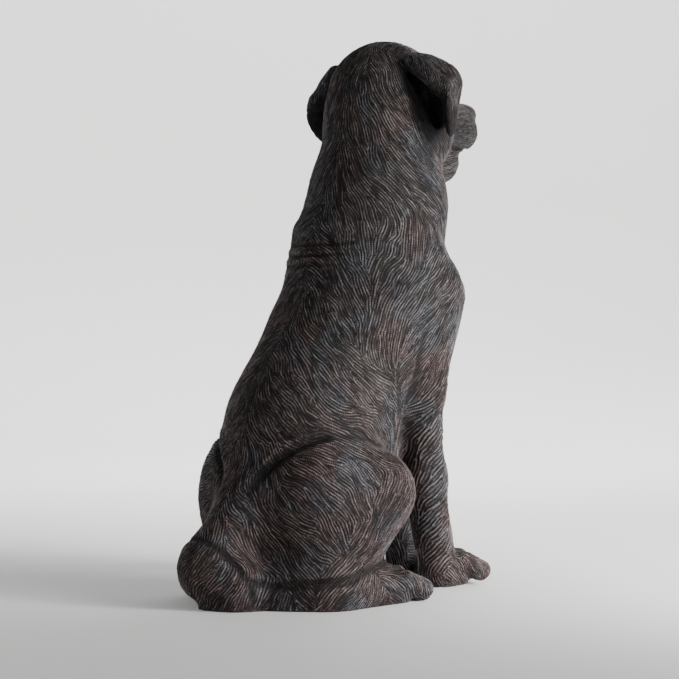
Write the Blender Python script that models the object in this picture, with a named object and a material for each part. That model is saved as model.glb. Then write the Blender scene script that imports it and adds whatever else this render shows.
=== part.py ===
"""A sitting dog, cast in one piece of resin with a flat underside.

The figure is modelled in a dog's own directions, each as a share of its height: side (its left is positive),
forward (towards the nose) and up. In the scene the dog faces -Y, and its left is +X.
"""

import itertools
import math

import bmesh
import bpy
import numpy as np
from mathutils import Euler, Matrix, Vector

STATUE_HEIGHT = 0.36  # underside to the top of the skull, metres
CLAY_GRAIN = 0.0062  # size of the grid that fuses the forms, as a share of the height
SOLID_TRIANGLES = 9400  # faces left in the finished solid
LEFT_STEP = 0.040  # how far the left front paw is set ahead of the right one, as a share of the height
CENTRE_FORWARD = 0.033  # where the middle of the figure's length lies forward, as a share of the height

for thing in list(bpy.data.objects):
    bpy.data.objects.remove(thing)


class Ball:
    """An ellipsoid. Its radii are along side, forward and up before it is turned, and cut takes it away."""

    def __init__(self, at, radii, blend, pitch=0.0, yaw=0.0, roll=0.0, both=False, cut=False):
        self.at = np.array(at, float)
        self.radii = np.array(radii, float)
        self.blend = blend
        self.both = both
        self.cut = cut
        turn = Euler((math.radians(pitch), math.radians(roll), math.radians(yaw)), "XYZ")
        self.turn = np.array(turn.to_matrix())

    def distance(self, points):
        local = (points - self.at) @ self.turn
        near = np.linalg.norm(local / self.radii, axis=1)
        slope = np.linalg.norm(local / self.radii**2, axis=1)
        return near * (near - 1.0) / np.maximum(slope, 1e-6)

    def add_to(self, mesh):
        place = Matrix.Translation(self.at) @ Matrix(self.turn).to_4x4() @ Matrix.Diagonal((*self.radii, 1.0))
        bmesh.ops.create_icosphere(mesh, subdivisions=4, radius=1.0, matrix=place)


class Limb:
    """A rounded taper between two joints, with a radius at each, and cut takes it away."""

    def __init__(self, start, end, start_radius, end_radius, blend, both=False, cut=False):
        self.start = np.array(start, float)
        self.end = np.array(end, float)
        self.start_radius = start_radius
        self.end_radius = end_radius
        self.blend = blend
        self.both = both
        self.cut = cut

    def distance(self, points):
        along = self.end - self.start
        share = np.clip((points - self.start) @ along / (along @ along), 0.0, 1.0)
        radius = self.start_radius + share * (self.end_radius - self.start_radius)
        return np.linalg.norm(points - self.start - share[:, None] * along, axis=1) - radius

    def add_to(self, mesh):
        along = (self.end - self.start) / np.linalg.norm(self.end - self.start)
        for vert in bmesh.ops.create_icosphere(mesh, subdivisions=4, radius=1.0)["verts"]:
            outward = np.array(vert.co)
            if outward @ along > 0.0:
                vert.co = self.end + self.end_radius * outward
            else:
                vert.co = self.start + self.start_radius * outward


def smooth_union(first, second, blend):
    """The lesser of two distances, with a fillet about as wide as blend where they meet."""
    reach = np.maximum(blend - np.abs(first - second), 0.0) / blend
    return np.minimum(first, second) - reach**2 * blend / 4.0


def trunk():
    yield Ball((0, -0.085, 0.15), (0.145, 0.138, 0.165), 0.05)  # rump
    yield Ball((0, -0.150, 0.02), (0.120, 0.105, 0.075), 0.03)  # seat
    yield Ball((0.095, -0.108, 0.03), (0.080, 0.100, 0.070), 0.03, both=True)  # seat under each thigh
    yield Ball((0, -0.057, 0.30), (0.144, 0.136, 0.170), 0.05, pitch=-22)  # loin
    yield Ball((0, 0.050, 0.27), (0.095, 0.100, 0.130), 0.05)  # belly
    yield Ball((0, 0.043, 0.44), (0.143, 0.145, 0.180), 0.05, pitch=-30)  # rib cage
    yield Ball((0, 0.095, 0.57), (0.130, 0.133, 0.115), 0.05, pitch=-10)  # withers
    yield Ball((0, 0.175, 0.500), (0.085, 0.085, 0.120), 0.05, pitch=5)  # breast


def neck_and_head():
    yield Ball((0, 0.052, 0.642), (0.100, 0.086, 0.034), 0.02, pitch=-8)  # roll of skin on the nape
    yield Limb((0, 0.110, 0.60), (0, 0.130, 0.70), 0.136, 0.121, 0.04)  # neck
    yield Limb((0, 0.130, 0.70), (0, 0.136, 0.81), 0.121, 0.104, 0.04)  # nape and throat
    yield Ball((0, 0.155, 0.890), (0.100, 0.118, 0.110), 0.04)  # skull
    yield Ball((0.050, 0.203, 0.832), (0.045, 0.064, 0.062), 0.03, both=True)  # cheek
    yield Limb((0, 0.25, 0.862), (0, 0.335, 0.860), 0.055, 0.045, 0.035)  # muzzle
    yield Ball((0.025, 0.302, 0.840), (0.033, 0.066, 0.036), 0.02, both=True)  # upper lip
    yield Ball((0.016, 0.258, 0.794), (0.036, 0.064, 0.032), 0.012, both=True)  # lower jaw
    yield Ball((0, 0.294, 0.780), (0.036, 0.040, 0.034), 0.02)  # chin
    yield Ball((0.040, 0.234, 0.944), (0.028, 0.024, 0.013), 0.03, both=True, roll=12)  # brow
    yield Ball((0.051, 0.274, 0.914), (0.023, 0.021, 0.017), 0.014, both=True, cut=True)  # eye socket
    yield Ball((0.048, 0.2475, 0.915), (0.0175, 0.0175, 0.016), 0.004, both=True)  # eye
    yield Ball((0, 0.367, 0.882), (0.028, 0.022, 0.021), 0.012)  # nose


def ear():
    """A drop ear that stands out from the head on a fold, with its flap hanging from the edge of the fold."""
    yield Limb((0.090, 0.145, 0.932), (0.093, 0.182, 0.855), 0.027, 0.020, 0.01, True, cut=True)  # hollow
    yield Ball((0.118, 0.160, 0.934), (0.056, 0.048, 0.021), 0.02, roll=37, both=True)  # fold
    yield Limb((0.098, 0.120, 0.950), (0.154, 0.128, 0.903), 0.013, 0.014, 0.012, both=True)  # its back edge
    yield Limb((0.155, 0.132, 0.900), (0.132, 0.182, 0.904), 0.015, 0.016, 0.012, both=True)  # its outer edge
    yield Ball((0.152, 0.160, 0.866), (0.013, 0.040, 0.055), 0.015, pitch=36, yaw=37, both=True)  # flap
    yield Ball((0.110, 0.198, 0.895), (0.034, 0.017, 0.052), 0.02, yaw=-20, both=True)  # front of the root


def fore_leg(side, step):
    """A front leg on one side, with its paw a step ahead."""
    yield Ball((side * 0.100, 0.110, 0.51), (0.048, 0.078, 0.115), 0.05, pitch=-15)  # shoulder blade
    yield Limb((side * 0.090, 0.174, 0.53), (side * 0.088, 0.146, 0.37), 0.063, 0.047, 0.04)  # upper arm
    knee = (side * 0.066, 0.184 + step / 2, 0.20)
    wrist = (side * 0.060, 0.218 + step, 0.08)
    yield Limb((side * 0.080, 0.155, 0.37), knee, 0.044, 0.038, 0.03)  # forearm
    yield Limb(knee, wrist, 0.038, 0.037, 0.03)  # pastern
    heel = (side * 0.061, 0.232 + step, 0.030)
    ball_of_paw = (side * 0.063, 0.272 + step, 0.032)
    yield Limb(heel, ball_of_paw, 0.040, 0.038, 0.02)
    for toe in (-1.5, -0.5, 0.5, 1.5):
        root = (side * 0.062 + toe * 0.018, 0.266 + step, 0.044)
        tip = (side * 0.064 + toe * 0.022, 0.318 + step - 0.006 * toe**2, 0.026)
        yield Limb(root, tip, 0.021, 0.0205, 0.006)


def hind_leg():
    yield Ball((0.110, -0.076, 0.165), (0.070, 0.110, 0.130), 0.04, pitch=25, both=True)  # thigh
    yield Limb((0.125, -0.07, 0.17), (0.146, -0.018, 0.20), 0.065, 0.060, 0.04, both=True)  # knee
    yield Limb((0.146, -0.018, 0.18), (0.125, -0.130, 0.05), 0.055, 0.050, 0.03, both=True)  # shank
    yield Limb((0.135, -0.120, 0.030), (0.143, 0.015, 0.024), 0.052, 0.042, 0.02, both=True)  # foot
    for toe in (-1.5, -0.5, 0.5, 1.5):
        root = (0.144 + toe * 0.018, 0.018, 0.036)
        tip = (0.146 + toe * 0.020, 0.072 - 0.005 * toe**2, 0.020)
        yield Limb(root, tip, 0.022, 0.0200, 0.006, both=True)


def tail():
    yield Limb((0.0, -0.185, 0.17), (0.008, -0.262, 0.085), 0.048, 0.046, 0.04)
    yield Limb((0.006, -0.271, 0.062), (-0.030, -0.250, 0.045), 0.053, 0.048, 0.03)
    yield Limb((0.0, -0.258, -0.01), (-0.030, -0.240, 0.0), 0.032, 0.040, 0.02)


FORMS = [
    *trunk(),
    *neck_and_head(),
    *ear(),
    *fore_leg(-1, 0.0),
    *fore_leg(1, LEFT_STEP),
    *hind_leg(),
    *tail(),
]


def joined(total, form, distance):
    if form.cut:
        return -smooth_union(-total, distance, form.blend)
    return smooth_union(total, distance, form.blend)


def figure_distance(points):
    """How far each point lies outside the moulded figure, less than nothing inside it."""
    mirrored = points * (-1.0, 1.0, 1.0)
    total = np.full(len(points), 9.0)
    for form in FORMS:
        total = joined(total, form, form.distance(points))
        if form.both:
            total = joined(total, form, form.distance(mirrored))
    return total


def pull_to_figure(points, rounds=5, step=1e-3):
    """Moves points onto the moulded surface, along its slope."""
    for _ in range(rounds):
        here = figure_distance(points)
        slope = np.stack(
            [(figure_distance(points + step * axis) - here) / step for axis in np.eye(3)], axis=1
        )
        size = np.maximum((slope**2).sum(1), 0.25)
        points = points - slope * (here / size)[:, None]
    return points


def rough_object(name, forms):
    """The forms as closed meshes in one object, each paired one with its mirror image."""
    mesh = bmesh.new()
    for form in forms:
        form.add_to(mesh)
        if form.both:
            before = len(mesh.verts)
            form.add_to(mesh)
            mesh.verts.ensure_lookup_table()
            copies = mesh.verts[before:]
            for vert in copies:
                vert.co.x = -vert.co.x
            faces = {face for vert in copies for face in vert.link_faces}
            bmesh.ops.reverse_faces(mesh, faces=list(faces))
    data = bpy.data.meshes.new(name)
    mesh.to_mesh(data)
    mesh.free()
    made = bpy.data.objects.new(name, data)
    bpy.context.scene.collection.objects.link(made)
    return made


def modelled(thing):
    """The mesh that an object's modifiers make."""
    bpy.context.view_layer.update()
    return bpy.data.meshes.new_from_object(thing.evaluated_get(bpy.context.evaluated_depsgraph_get()))


def fused_forms():
    """Every form fused into one skin by voxel remeshes, with the hollows cut out of it on the way."""
    skin = rough_object("skin", [])
    for cut, group in itertools.groupby(FORMS, lambda form: form.cut):
        added = rough_object("added", group)
        fuse = skin.modifiers.new("fuse", "BOOLEAN" if cut else "REMESH")
        if cut:
            fuse.operation = "DIFFERENCE"
            fuse.solver = "EXACT"
            fuse.object = added
        else:
            both = bmesh.new()
            both.from_mesh(skin.data)
            both.from_mesh(added.data)
            both.to_mesh(skin.data)
            both.free()
            fuse.mode = "VOXEL"
            fuse.voxel_size = CLAY_GRAIN
        skin.data = modelled(skin)
        skin.modifiers.clear()
        bpy.data.objects.remove(added)
    fused = skin.data
    bpy.data.objects.remove(skin)
    return fused


def statue():
    mesh = fused_forms()
    points = np.empty(len(mesh.vertices) * 3)
    mesh.vertices.foreach_get("co", points)
    points = pull_to_figure(points.reshape(-1, 3))
    placed = (points - (0.0, CENTRE_FORWARD, 0.0)) * (STATUE_HEIGHT, -STATUE_HEIGHT, STATUE_HEIGHT)
    mesh.vertices.foreach_set("co", placed.ravel())
    mesh.flip_normals()
    dog = bpy.data.objects.new("dog_statue", mesh)
    bpy.context.scene.collection.objects.link(dog)
    fewer = dog.modifiers.new("fewer_faces", "DECIMATE")
    fewer.ratio = SOLID_TRIANGLES / (2 * len(mesh.polygons))
    fewer.use_collapse_triangulate = True
    lean = modelled(dog)
    dog.modifiers.clear()
    dog.data = lean
    cut_underside(lean)
    lean.shade_smooth()
    dog.data.materials.append(resin())
    return dog


def cut_underside(mesh):
    """Cuts the figure off flat at the floor, and closes the cut."""
    work = bmesh.new()
    work.from_mesh(mesh)
    everything = [*work.verts, *work.edges, *work.faces]
    near = STATUE_HEIGHT * 0.0005
    bmesh.ops.bisect_plane(work, geom=everything, dist=near, plane_no=(0, 0, -1), clear_outer=True)
    for vert in work.verts:
        if vert.co.z < near:
            vert.co.z = 0.0
    rim = [edge for edge in work.edges if edge.is_boundary]
    bmesh.ops.holes_fill(work, edges=rim, sides=0)
    bmesh.ops.triangulate(work, faces=[face for face in work.faces if len(face.verts) > 3])
    bmesh.ops.recalc_face_normals(work, faces=work.faces)
    work.to_mesh(mesh)
    work.free()


def resin():
    material = bpy.data.materials.new("painted_resin")
    material.use_nodes = True
    shader = material.node_tree.nodes["Principled BSDF"]
    shader.inputs["Base Color"].default_value = (0.045, 0.036, 0.034, 1.0)
    shader.inputs["Roughness"].default_value = 0.55
    return material


statue()
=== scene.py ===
"""A sitting dog cast in painted resin: its carved coat, face and paws over the plain cast solid.

The figure is modelled in a dog's own directions, each as a share of its height: side (its left is positive),
forward (towards the nose) and up. In the scene the dog faces -Y, and its left is +X.
"""

import math
from functools import partial

import bmesh
import bpy
import numpy as np
from mathutils import Euler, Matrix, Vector
from mathutils.kdtree import KDTree


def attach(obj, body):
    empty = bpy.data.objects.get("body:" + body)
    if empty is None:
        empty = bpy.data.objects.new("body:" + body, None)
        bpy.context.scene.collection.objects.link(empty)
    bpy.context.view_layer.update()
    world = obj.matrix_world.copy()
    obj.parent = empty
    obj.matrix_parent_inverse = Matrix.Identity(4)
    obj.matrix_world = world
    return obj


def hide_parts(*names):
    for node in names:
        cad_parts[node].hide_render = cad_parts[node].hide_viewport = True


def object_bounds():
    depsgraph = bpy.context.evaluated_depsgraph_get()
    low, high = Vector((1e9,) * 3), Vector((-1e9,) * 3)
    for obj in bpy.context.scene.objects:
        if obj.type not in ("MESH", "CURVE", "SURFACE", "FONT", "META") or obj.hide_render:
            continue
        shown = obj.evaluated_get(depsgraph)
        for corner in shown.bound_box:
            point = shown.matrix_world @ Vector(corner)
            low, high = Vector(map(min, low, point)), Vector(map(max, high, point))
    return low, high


bl_info = {
    "name": "Resin sitting dog",
    "version": (1, 0, 0),
    "blender": (4, 5, 0),
    "location": "View3D > Sidebar > Resin dog",
    "description": "Carves and paints a sitting dog cast in resin, and sets the studio round it",
    "category": "Add Mesh",
}

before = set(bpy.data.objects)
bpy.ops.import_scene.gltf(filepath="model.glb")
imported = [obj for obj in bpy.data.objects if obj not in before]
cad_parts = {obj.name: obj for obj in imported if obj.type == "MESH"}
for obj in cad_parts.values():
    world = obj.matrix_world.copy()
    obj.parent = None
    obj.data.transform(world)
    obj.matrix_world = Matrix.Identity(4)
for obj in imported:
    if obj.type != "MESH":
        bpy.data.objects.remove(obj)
CAD_BOX = [list(corner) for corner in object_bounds()]

STATUE_HEIGHT = 0.36  # underside to the top of the skull, metres
MM = 0.001 / STATUE_HEIGHT  # one millimetre, as a share of the height

# The studio, in metres.
COVE_RADIUS = 2.4  # from the statue to the round backdrop
COVE_BEND = 0.8  # how round the bend from the floor to the backdrop is
COVE_HEIGHT = 2.6
COVE_STEPS = 12  # straight pieces in the bend
FLOOR_GAP = 0.0002  # how far the floor lies under the statue, so that the two faces don't flicker

# The camera. Its place is in shares of the height, and its turns are in degrees.
PHOTO_WIDTH = 679.0  # pixels
LENS_PIXELS = 1944.0  # its focal length in pixels, worked out from the photograph's vanishing points
CAMERA_AT = (-2.463, -2.4295, 0.456)
CAMERA_DROP = 0.044
CAMERA_TURN = -135.0

# The figure and its carving. Lengths are shares of the height.
CENTRE_FORWARD = 0.033  # where the middle of the figure's length lies forward
LEFT_STEP = 0.040  # how far the left front paw is set ahead of the right one
BLEND_MARGIN = 0.02  # how far past its fillet a form is still worked out
AIR_REACH = 0.03  # how far out the open air over the skin is measured; where there is less, the paint is darker, as painted shade in hollows
FULL_LINE = 1.5 * MM  # a stroke that cuts this deep counts as a full line in the paint, which is darkened along it as painted shade
FOOT_EDGE = 1.5 * MM  # the coat fades out over this height above the underside
BARE_EDGE = 0.008  # and over this width round a bare place
GLOSS_EDGE = 0.4 * MM  # the gloss fades out over this width inside the rim of a glossy place
SHADE_EDGE = 0.02  # the painted shade thins out over this width round a shaded place
SHADE_LEAST = 0.2  # how much open air a shaded place still counts as having
COMB_CORE = 0.018  # inside this distance a comb's pull hardly grows
COMB_FADE = -2.5  # how its pull fades with the square of the distance
NEIGHBOURS = 16  # seeds that each seed of the coat lines its groove up with, itself among them
SAME_FACE = 0.3  # and only where the cosine between their skins is over this
NEAREST = 26  # seeds that are blended at each point of the coat
SURE = 2.5  # how soon the grooves reach their full depth where the seeds agree
CREST = 1.9  # how sharp the coat's ridges are: 1 is a plain wave, and more makes them narrower
WIDE_SWAY = (9.0, 0.16)  # waves in the lie of the hair: their size in spacings, and how far they turn it in radians
FINE_SWAY = (3.5, 0.26)
BREAK_SIZE = 0.7  # how long the places are where ridges break off, in spacings
BREAK_WEIGHT = 1.2  # how sharply they do
LATTICE = 32  # random values along each edge of the noise, which then repeats
BATCH = 40000  # points that are worked out at once, to save memory


def linear(hex_colour):
    """A linear RGBA colour from an sRGB hex value."""
    parts = [int(hex_colour[i : i + 2], 16) / 255 for i in (0, 2, 4)]
    return (*(c / 12.92 if c <= 0.04045 else ((c + 0.055) / 1.055) ** 2.4 for c in parts), 1.0)


class ResinDogCarving(bpy.types.PropertyGroup):
    """Sizes of the carving."""

    clay_grid: bpy.props.FloatProperty(
        name="Clay grid", description="Size of the even grid that is carved", default=0.0010, unit="LENGTH"
    )
    groove_spacing: bpy.props.FloatProperty(
        name="Groove spacing", description="From one groove of the coat to the next",
        default=0.0018, unit="LENGTH",
    )
    groove_depth: bpy.props.FloatProperty(
        name="Groove depth", description="How deep the coat's grooves are cut", default=0.0008, unit="LENGTH"
    )
    triangles: bpy.props.IntProperty(
        name="Triangles", description="Triangles left in the carved dog", default=196000, max=199000
    )


class ResinDogPaint(bpy.types.PropertyGroup):
    """Colours of the paint on the resin."""

    groove: bpy.props.FloatVectorProperty(
        name="Groove", description="Dark wash that lies in the grooves",
        subtype="COLOR", size=4, default=linear("0F0D0C"),
    )
    ridge: bpy.props.FloatVectorProperty(
        name="Ridge", description="Grey-brown of the coat",
        subtype="COLOR", size=4, default=linear("3B3636"),
    )
    # Painted highlight: this pale paint on the crests also stands in for part of their shine.
    dry_brush_and_highlight: bpy.props.FloatVectorProperty(
        name="Dry brush", description="Pale paint dragged over the ridges",
        subtype="COLOR", size=4, default=linear("9A9290"),
    )
    rust: bpy.props.FloatVectorProperty(
        name="Red-brown", description="Warm patches in the paint",
        subtype="COLOR", size=4, default=linear("4E3734"),
    )
    slate: bpy.props.FloatVectorProperty(
        name="Slate", description="Cool patches in the paint",
        subtype="COLOR", size=4, default=linear("3E444C"),
    )


class ResinDogStudio(bpy.types.PropertyGroup):
    """The plain studio round the statue."""

    floor: bpy.props.FloatVectorProperty(
        name="Floor", description="Colour of the paper on the floor",
        subtype="COLOR", size=4, default=linear("F6F6F6"),
    )
    backdrop: bpy.props.FloatVectorProperty(
        name="Backdrop", description="Colour of the paper behind",
        subtype="COLOR", size=4, default=linear("DEDEDD"),
    )
    main_power: bpy.props.FloatProperty(
        name="Main light", description="Power of the main light", default=24.5, unit="POWER"
    )
    low_power: bpy.props.FloatProperty(
        name="Low light", description="Power of the light beside the paws", default=4.0, unit="POWER"
    )
    fill_power: bpy.props.FloatProperty(
        name="Fill light", description="Power of the fill light", default=1.0, unit="POWER"
    )
    front_power: bpy.props.FloatProperty(
        name="Front light", description="Power of the light before the face", default=7.0, unit="POWER"
    )
    backdrop_power: bpy.props.FloatProperty(
        name="Backdrop light", description="Power of the light on the backdrop", default=66.0, unit="POWER"
    )


class Ball:
    """An ellipsoid. Its radii are along side, forward and up before it is turned, and cut takes it away."""

    def __init__(self, at, radii, blend, pitch=0.0, yaw=0.0, roll=0.0, both=False, cut=False):
        self.at = np.array(at, float)
        self.radii = np.array(radii, float)
        self.blend = blend
        self.both = both
        self.cut = cut
        self.middle = self.at
        self.reach = max(radii) + blend + BLEND_MARGIN
        turn = Euler((math.radians(pitch), math.radians(roll), math.radians(yaw)), "XYZ")
        self.turn = np.array(turn.to_matrix())

    def distance(self, points):
        local = (points - self.at) @ self.turn
        near = np.linalg.norm(local / self.radii, axis=1)
        slope = np.linalg.norm(local / self.radii**2, axis=1)
        return near * (near - 1.0) / np.maximum(slope, 1e-6)


class Limb:
    """A rounded taper between two joints, with a radius at each, and cut takes it away."""

    def __init__(self, start, end, start_radius, end_radius, blend, both=False, cut=False):
        self.start = np.array(start, float)
        self.end = np.array(end, float)
        self.start_radius = start_radius
        self.end_radius = end_radius
        self.blend = blend
        self.both = both
        self.cut = cut
        self.middle = (self.start + self.end) / 2.0
        half = np.linalg.norm(self.end - self.start) / 2.0
        self.reach = half + max(start_radius, end_radius) + blend + BLEND_MARGIN

    def distance(self, points):
        along = self.end - self.start
        share = np.clip((points - self.start) @ along / (along @ along), 0.0, 1.0)
        radius = self.start_radius + share * (self.end_radius - self.start_radius)
        return np.linalg.norm(points - self.start - share[:, None] * along, axis=1) - radius


def smooth_union(first, second, blend):
    """The lesser of two distances, with a fillet about as wide as blend where they meet."""
    reach = np.maximum(blend - np.abs(first - second), 0.0) / blend
    return np.minimum(first, second) - reach**2 * blend / 4.0


TRUNK = [
    Ball((0, -0.085, 0.15), (0.145, 0.138, 0.165), 0.05),  # rump
    Ball((0, -0.15, 0.02), (0.12, 0.105, 0.075), 0.03),  # seat
    Ball((0.095, -0.108, 0.03), (0.08, 0.1, 0.07), 0.03, both=True),  # seat under each thigh
    Ball((0, -0.057, 0.3), (0.144, 0.136, 0.17), 0.05, pitch=-22),  # loin
    Ball((0, 0.05, 0.27), (0.095, 0.1, 0.13), 0.05),  # belly
    Ball((0, 0.043, 0.44), (0.143, 0.145, 0.18), 0.05, pitch=-30),  # rib cage
    Ball((0, 0.095, 0.57), (0.13, 0.133, 0.115), 0.05, pitch=-10),  # withers
    Ball((0, 0.175, 0.5), (0.085, 0.085, 0.12), 0.05, pitch=5),  # breast
]

NECK_AND_HEAD = [
    Ball((0, 0.052, 0.642), (0.1, 0.086, 0.034), 0.02, pitch=-8),  # roll of skin on the nape
    Limb((0, 0.11, 0.6), (0, 0.13, 0.7), 0.136, 0.121, 0.04),  # neck
    Limb((0, 0.13, 0.7), (0, 0.136, 0.81), 0.121, 0.104, 0.04),  # nape and throat
    Ball((0, 0.155, 0.89), (0.1, 0.118, 0.11), 0.04),  # skull
    Ball((0.05, 0.203, 0.832), (0.045, 0.064, 0.062), 0.03, both=True),  # cheek
    Limb((0, 0.25, 0.862), (0, 0.335, 0.86), 0.055, 0.045, 0.035),  # muzzle
    Ball((0.025, 0.302, 0.84), (0.033, 0.066, 0.036), 0.02, both=True),  # upper lip
    Ball((0.016, 0.258, 0.794), (0.036, 0.064, 0.032), 0.012, both=True),  # lower jaw
    Ball((0, 0.294, 0.78), (0.036, 0.04, 0.034), 0.02),  # chin
    Ball((0.04, 0.234, 0.944), (0.028, 0.024, 0.013), 0.03, both=True, roll=12),  # brow
    Ball((0.051, 0.274, 0.914), (0.023, 0.021, 0.017), 0.014, both=True, cut=True),  # eye socket
    Ball((0.048, 0.2475, 0.915), (0.0175, 0.0175, 0.016), 0.004, both=True),  # eye
    Ball((0, 0.367, 0.882), (0.028, 0.022, 0.021), 0.012),  # nose
]

EAR = [  # a drop ear: a fold that stands out from the head, and a flap that hangs from the fold's edge
    Limb((0.09, 0.145, 0.932), (0.093, 0.182, 0.855), 0.027, 0.02, 0.01, True, cut=True),  # hollow
    Ball((0.118, 0.16, 0.934), (0.056, 0.048, 0.021), 0.02, roll=37, both=True),  # fold
    Limb((0.098, 0.12, 0.95), (0.154, 0.128, 0.903), 0.013, 0.014, 0.012, both=True),  # its back edge
    Limb((0.155, 0.132, 0.9), (0.132, 0.182, 0.904), 0.015, 0.016, 0.012, both=True),  # its outer edge
    Ball((0.152, 0.16, 0.866), (0.013, 0.04, 0.055), 0.015, pitch=36, yaw=37, both=True),  # flap
    Ball((0.11, 0.198, 0.895), (0.034, 0.017, 0.052), 0.02, yaw=-20, both=True),  # front of the root
]


def fore_leg(side, step):
    """A front leg on one side, with its paw a step ahead."""
    yield Ball((side * 0.1, 0.11, 0.51), (0.048, 0.078, 0.115), 0.05, pitch=-15)  # shoulder blade
    yield Limb((side * 0.09, 0.174, 0.53), (side * 0.088, 0.146, 0.37), 0.063, 0.047, 0.04)  # upper arm
    knee = (side * 0.066, 0.184 + step / 2, 0.2)
    wrist = (side * 0.06, 0.218 + step, 0.08)
    yield Limb((side * 0.08, 0.155, 0.37), knee, 0.044, 0.038, 0.03)  # forearm
    yield Limb(knee, wrist, 0.038, 0.037, 0.03)  # pastern
    heel = (side * 0.061, 0.232 + step, 0.03)
    ball_of_paw = (side * 0.063, 0.272 + step, 0.032)
    yield Limb(heel, ball_of_paw, 0.04, 0.038, 0.02)
    for toe in (-1.5, -0.5, 0.5, 1.5):
        root = (side * 0.062 + toe * 0.018, 0.266 + step, 0.044)
        tip = (side * 0.064 + toe * 0.022, 0.318 + step - 0.006 * toe**2, 0.026)
        yield Limb(root, tip, 0.021, 0.0205, 0.006)


def hind_leg():
    yield Ball((0.11, -0.076, 0.165), (0.07, 0.11, 0.13), 0.04, pitch=25, both=True)  # thigh
    yield Limb((0.125, -0.07, 0.17), (0.146, -0.018, 0.2), 0.065, 0.06, 0.04, both=True)  # knee
    yield Limb((0.146, -0.018, 0.18), (0.125, -0.13, 0.05), 0.055, 0.05, 0.03, both=True)  # shank
    yield Limb((0.135, -0.12, 0.03), (0.143, 0.015, 0.024), 0.052, 0.042, 0.02, both=True)  # foot
    for toe in (-1.5, -0.5, 0.5, 1.5):
        root = (0.144 + toe * 0.018, 0.018, 0.036)
        tip = (0.146 + toe * 0.02, 0.072 - 0.005 * toe**2, 0.02)
        yield Limb(root, tip, 0.022, 0.02, 0.006, both=True)


TAIL = [
    Limb((0.0, -0.185, 0.17), (0.008, -0.262, 0.085), 0.048, 0.046, 0.04),
    Limb((0.006, -0.271, 0.062), (-0.03, -0.25, 0.045), 0.053, 0.048, 0.03),
    Limb((0.0, -0.258, -0.01), (-0.03, -0.24, 0.0), 0.032, 0.04, 0.02),
]


FORMS = [
    *TRUNK,
    *NECK_AND_HEAD,
    *EAR,
    *fore_leg(-1, 0.0),
    *fore_leg(1, LEFT_STEP),
    *hind_leg(),
    *TAIL,
]


def figure_distance(points):
    """How far each point near the surface lies outside the moulded figure, less than nothing inside it."""
    mirrored = points * (-1.0, 1.0, 1.0)
    total = np.full(len(points), 9.0)
    for form in FORMS:
        for there in (points, mirrored) if form.both else (points,):
            near = np.flatnonzero(np.abs(there - form.middle).max(axis=1) < form.reach)
            distance = form.distance(there[near])
            if form.cut:
                total[near] = -smooth_union(-total[near], distance, form.blend)
            else:
                total[near] = smooth_union(total[near], distance, form.blend)
    return total


def pull_to_figure(points, rounds=3, step=1e-3):
    """Moves points onto the moulded surface, along its slope."""
    here = figure_distance(points)
    slope = np.stack([(figure_distance(points + step * axis) - here) / step for axis in np.eye(3)], axis=1)
    slope /= np.maximum((slope**2).sum(axis=1), 0.25)[:, None]
    for _ in range(rounds):
        points = points - slope * figure_distance(points)[:, None]
    return points


def to_dog(points):
    """World metres to shares of the height in the dog's own directions."""
    return points / (STATUE_HEIGHT, -STATUE_HEIGHT, STATUE_HEIGHT) + (0.0, CENTRE_FORWARD, 0.0)


def to_world(points):
    return (points - (0.0, CENTRE_FORWARD, 0.0)) * (STATUE_HEIGHT, -STATUE_HEIGHT, STATUE_HEIGHT)


class Comb:
    """Which way the hair lies at a place on the dog's left side and, mirrored, on its right."""

    def __init__(self, at, lie, spacing=1.0, depth=1.0, both=True):
        self.at = np.array(at, float)
        self.lie = np.array(lie, float)
        self.spacing = spacing
        self.depth = depth
        self.both = both


# The rows of combs give the place, the lie, and where they aren't 1 the spacing and the depth.
HEAD_COMBS = [
    ((0, 0.34, 0.905), (0, -1, 0.1), 0.8, 0.4),  # muzzle
    ((0.045, 0.31, 0.85), (0, -1, 0), 0.8, 0.4),  # lip
    ((0.03, 0.29, 0.77), (0, -1, -0.2), 0.8, 0.6),  # chin
    ((0, 0.27, 0.94), (0, -0.5, 1), 0.8, 0.6),  # stop
    ((0.02, 0.235, 0.975), (0, -1, 0.6), 0.75, 0.8),  # forehead
    ((0, 0.15, 1.0), (0, -1, 0), 0.8),  # crown
    ((0.06, 0.15, 0.985), (0.5, -0.8, -0.3), 0.8),
    ((0, 0.06, 0.945), (0, -0.6, -0.8), 0.85),  # back of the crown
    ((0.067, 0.09, 0.942), (0.55, 0.05, -0.8), 0.85),
    ((0.121, 0.109, 0.925), (0.35, 0.04, -0.95), 0.85, 0.9),
    ((0.095, 0.09, 0.9), (0.1, 0.45, -0.9), 0.85),  # behind the ear
    ((0.085, 0.23, 0.85), (0.0, -0.4, -0.9), 0.75, 0.8),  # cheek
    ((0.125, 0.165, 0.955), (0.9, 0.1, -0.5), 0.85, 0.9),  # fold of the ear
    ((0.165, 0.119, 0.89), (-0.5, 0.2, -0.85), 0.8, 0.8),  # its back edge
    ((0.172, 0.16, 0.87), (0.1, 0, -1), 0.8, 0.8),  # flap of the ear
]

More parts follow.
